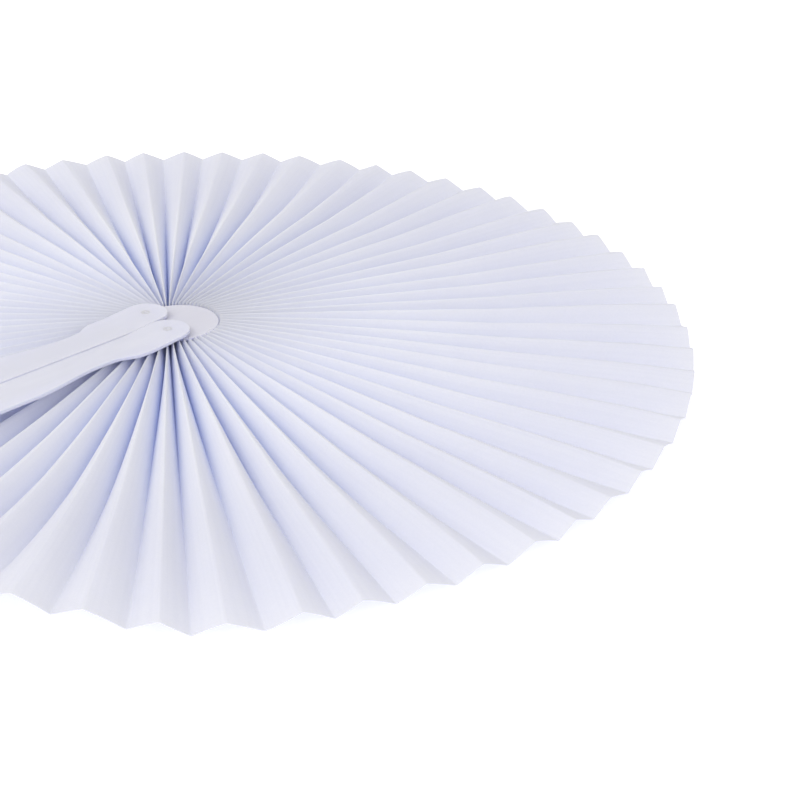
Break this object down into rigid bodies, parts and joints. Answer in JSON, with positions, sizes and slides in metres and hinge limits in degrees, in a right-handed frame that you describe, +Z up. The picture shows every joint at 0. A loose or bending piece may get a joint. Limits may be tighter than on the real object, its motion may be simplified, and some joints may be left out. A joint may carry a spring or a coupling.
{
  "type": "folding paper fan",
  "caption": "Round folding fan: a white pleated paper leaf that opens through a full circle on two plastic sticks pinned to a hub plate.",
  "frame": {"origin": "the middle of the leaf, on the plane that the open fan lies on (underside of the hub post)", "axes": "+Z up through the open leaf; the two sticks lie side by side along -Y; +X to the right stick's side"},
  "size_m": [0.24, 0.3418, 0.0212],
  "materials": {
    "paper": "matt white paper",
    "stick_plastic": "satin white moulded plastic",
    "hub_plastic": "satin, slightly grey, moulded plastic",
    "pin_plastic": "satin white moulded plastic",
    "thread": "white cotton thread"
  },
  "bodies": {
    "hub": {"hub_plate": "hub_plastic", "binding_thread": "thread", "left_pivot_pin": "pin_plastic", "right_pivot_pin": "pin_plastic"},
    "left_stick": {"left_stick": "stick_plastic", "left_glue_tab": "paper"},
    "right_stick": {"right_stick": "stick_plastic", "right_glue_tab": "paper"},
    "left_leaf_1": {"left_leaf_1": "paper"},
    "left_leaf_2": {"left_leaf_2": "paper"},
    "left_leaf_3": {"left_leaf_3": "paper"},
    "left_leaf_4": {"left_leaf_4": "paper"},
    "left_leaf_5": {"left_leaf_5": "paper"},
    "left_leaf_6": {"left_leaf_6": "paper"},
    "left_leaf_7": {"left_leaf_7": "paper"},
    "left_leaf_8": {"left_leaf_8": "paper"},
    "right_leaf_1": {"right_leaf_1": "paper"},
    "right_leaf_2": {"right_leaf_2": "paper"},
    "right_leaf_3": {"right_leaf_3": "paper"},
    "right_leaf_4": {"right_leaf_4": "paper"},
    "right_leaf_5": {"right_leaf_5": "paper"},
    "right_leaf_6": {"right_leaf_6": "paper"},
    "right_leaf_7": {"right_leaf_7": "paper"},
    "right_leaf_8": {"right_leaf_8": "paper"}
  },
  "joints": [
    {"name": "left_stick_swing", "type": "hinge", "parent": "hub", "child": "left_stick", "pos_m": [-0.0037, -0.0034, 0.0064], "axis": [0, 0, -1], "range_deg": [0, 178]},
    {"name": "right_stick_swing", "type": "hinge", "parent": "hub", "child": "right_stick", "pos_m": [0.0064, -0.0068, 0.0064], "axis": [0, 0, 1], "range_deg": [0, 178]},
    {"name": "left_leaf_1_fold", "type": "hinge", "parent": "hub", "child": "left_leaf_1", "pos_m": [-0.0034, 0, 0.003], "axis": [0, 0, -1], "range_deg": [-1, 23.25], "deforming": ["left_leaf_1"]},
    {"name": "left_leaf_2_fold", "type": "hinge", "parent": "hub", "child": "left_leaf_2", "pos_m": [-0.0034, 0, 0.003], "axis": [0, 0, -1], "range_deg": [-1, 45.5], "deforming": ["left_leaf_2"]},
    {"name": "left_leaf_3_fold", "type": "hinge", "parent": "hub", "child": "left_leaf_3", "pos_m": [-0.0034, 0, 0.003], "axis": [0, 0, -1], "range_deg": [-1, 67.75], "deforming": ["left_leaf_3"]},
    {"name": "left_leaf_4_fold", "type": "hinge", "parent": "hub", "child": "left_leaf_4", "pos_m": [-0.0034, 0, 0.003], "axis": [0, 0, -1], "range_deg": [-1, 90], "deforming": ["left_leaf_4"]},
    {"name": "left_leaf_5_fold", "type": "hinge", "parent": "hub", "child": "left_leaf_5", "pos_m": [-0.0034, 0, 0.003], "axis": [0, 0, -1], "range_deg": [-1, 112.25], "deforming": ["left_leaf_5"]},
    {"name": "left_leaf_6_fold", "type": "hinge", "parent": "hub", "child": "left_leaf_6", "pos_m": [-0.0034, 0, 0.003], "axis": [0, 0, -1], "range_deg": [-1, 134.5], "deforming": ["left_leaf_6"]},
    {"name": "left_leaf_7_fold", "type": "hinge", "parent": "hub", "child": "left_leaf_7", "pos_m": [-0.0034, 0, 0.003], "axis": [0, 0, -1], "range_deg": [-1, 156.75], "deforming": ["left_leaf_7"]},
    {"name": "left_leaf_8_fold", "type": "hinge", "parent": "hub", "child": "left_leaf_8", "pos_m": [-0.0034, 0, 0.003], "axis": [0, 0, -1], "range_deg": [-1, 179], "deforming": ["left_leaf_8"]},
    {"name": "right_leaf_1_fold", "type": "hinge", "parent": "hub", "child": "right_leaf_1", "pos_m": [0.0066, 0, 0.003], "axis": [0, 0, 1], "range_deg": [-1, 23.25], "deforming": ["right_leaf_1"]},
    {"name": "right_leaf_2_fold", "type": "hinge", "parent": "hub", "child": "right_leaf_2", "pos_m": [0.0066, 0, 0.003], "axis": [0, 0, 1], "range_deg": [-1, 45.5], "deforming": ["right_leaf_2"]},
    {"name": "right_leaf_3_fold", "type": "hinge", "parent": "hub", "child": "right_leaf_3", "pos_m": [0.0066, 0, 0.003], "axis": [0, 0, 1], "range_deg": [-1, 67.75], "deforming": ["right_leaf_3"]},
    {"name": "right_leaf_4_fold", "type": "hinge", "parent": "hub", "child": "right_leaf_4", "pos_m": [0.0066, 0, 0.003], "axis": [0, 0, 1], "range_deg": [-1, 90], "deforming": ["right_leaf_4"]},
    {"name": "right_leaf_5_fold", "type": "hinge", "parent": "hub", "child": "right_leaf_5", "pos_m": [0.0066, 0, 0.003], "axis": [0, 0, 1], "range_deg": [-1, 112.25], "deforming": ["right_leaf_5"]},
    {"name": "right_leaf_6_fold", "type": "hinge", "parent": "hub", "child": "right_leaf_6", "pos_m": [0.0066, 0, 0.003], "axis": [0, 0, 1], "range_deg": [-1, 134.5], "deforming": ["right_leaf_6"]},
    {"name": "right_leaf_7_fold", "type": "hinge", "parent": "hub", "child": "right_leaf_7", "pos_m": [0.0066, 0, 0.003], "axis": [0, 0, 1], "range_deg": [-1, 156.75], "deforming": ["right_leaf_7"]},
    {"name": "right_leaf_8_fold", "type": "hinge", "parent": "hub", "child": "right_leaf_8", "pos_m": [0.0066, 0, 0.003], "axis": [0, 0, 1], "range_deg": [-1, 179], "deforming": ["right_leaf_8"]}
  ],
  "couplings": [
    {"joint": "left_leaf_1_fold", "follows": "left_stick_swing", "ratio": 0.125},
    {"joint": "left_leaf_2_fold", "follows": "left_stick_swing", "ratio": 0.25},
    {"joint": "left_leaf_3_fold", "follows": "left_stick_swing", "ratio": 0.375},
    {"joint": "left_leaf_4_fold", "follows": "left_stick_swing", "ratio": 0.5},
    {"joint": "left_leaf_5_fold", "follows": "left_stick_swing", "ratio": 0.625},
    {"joint": "left_leaf_6_fold", "follows": "left_stick_swing", "ratio": 0.75},
    {"joint": "left_leaf_7_fold", "follows": "left_stick_swing", "ratio": 0.875},
    {"joint": "left_leaf_8_fold", "follows": "left_stick_swing", "ratio": 1},
    {"joint": "right_leaf_1_fold", "follows": "right_stick_swing", "ratio": 0.125},
    {"joint": "right_leaf_2_fold", "follows": "right_stick_swing", "ratio": 0.25},
    {"joint": "right_leaf_3_fold", "follows": "right_stick_swing", "ratio": 0.375},
    {"joint": "right_leaf_4_fold", "follows": "right_stick_swing", "ratio": 0.5},
    {"joint": "right_leaf_5_fold", "follows": "right_stick_swing", "ratio": 0.625},
    {"joint": "right_leaf_6_fold", "follows": "right_stick_swing", "ratio": 0.75},
    {"joint": "right_leaf_7_fold", "follows": "right_stick_swing", "ratio": 0.875},
    {"joint": "right_leaf_8_fold", "follows": "right_stick_swing", "ratio": 1}
  ]
}
